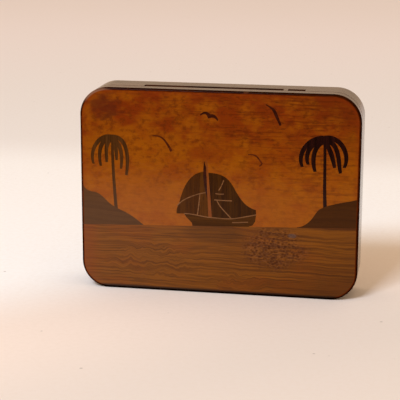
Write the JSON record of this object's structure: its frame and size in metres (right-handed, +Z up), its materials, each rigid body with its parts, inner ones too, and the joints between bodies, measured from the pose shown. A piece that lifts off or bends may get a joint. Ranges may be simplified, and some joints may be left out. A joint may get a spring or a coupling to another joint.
{
  "type": "wooden puzzle box",
  "caption": "Thin rounded wooden puzzle box with a marquetry seascape lid that slides off upwards once a hidden key strip in its top edge is moved.",
  "frame": {"origin": "centre of the box's outline on the surface that it stands on", "axes": "+X along the long edge, towards the right of the picture; +Y from the marquetry lid to the back; +Z up, the way the lid slides off"},
  "size_m": [0.16, 0.028, 0.118],
  "materials": {
    "case_wood": "dark brown wood under gloss lacquer",
    "edge_wood": "very dark wood under gloss lacquer",
    "plain_wood": "bare hardwood, waxed",
    "sky_wood": "orange-brown veneer under gloss lacquer",
    "sea_wood": "brown veneer with wavy grain under gloss lacquer",
    "hill_wood": "dark grey-brown veneer under gloss lacquer",
    "left_palm_wood": "dark brown veneer under gloss lacquer",
    "right_palm_wood": "blackish brown veneer under gloss lacquer",
    "sail_wood": "dark grey-brown veneer under gloss lacquer",
    "bird_wood": "blackish veneer under gloss lacquer",
    "stringing": "light veneer lines under gloss lacquer",
    "pin_metal": "turned brass"
  },
  "bodies": {
    "case": {"case_frame": "case_wood", "back_panel": "case_wood", "back_veneer": "case_wood", "left_rail": "plain_wood", "right_rail": "plain_wood"},
    "key": {"key_strip": "case_wood", "lock_pin": "pin_metal"},
    "lid": {"lid_frame": "case_wood", "lid_panel": "case_wood", "edge_band": "edge_wood", "sky_veneer": "sky_wood", "sea_veneer": "sea_wood", "left_hill": "hill_wood", "right_hill": "hill_wood", "left_palm_trunk": "left_palm_wood", "left_palm_fronds": "left_palm_wood", "right_palm_trunk": "right_palm_wood", "right_palm_fronds": "right_palm_wood", "boat_hull": "sail_wood", "boat_gunwale": "stringing", "boat_hull_line": "stringing", "boat_mast": "sky_wood", "boat_mast_shade": "bird_wood", "fore_sail_upper": "sail_wood", "fore_sail_lower": "sail_wood", "fore_sail_clew": "sail_wood", "fore_sail_seam": "stringing", "fore_sail_foot_seam": "stringing", "main_sail": "sail_wood", "main_sail_seams": "stringing", "bird_centre": "bird_wood", "bird_right": "bird_wood", "bird_left": "bird_wood", "bird_low": "bird_wood"}
  },
  "joints": [
    {"name": "key_slide", "type": "slide", "parent": "case", "child": "key", "axis": [1, 0, 0], "range_m": [0, 0.0095]},
    {"name": "lid_slide", "type": "slide", "parent": "case", "child": "lid", "axis": [0, 0, 1], "range_m": [0, 0.09]}
  ]
}
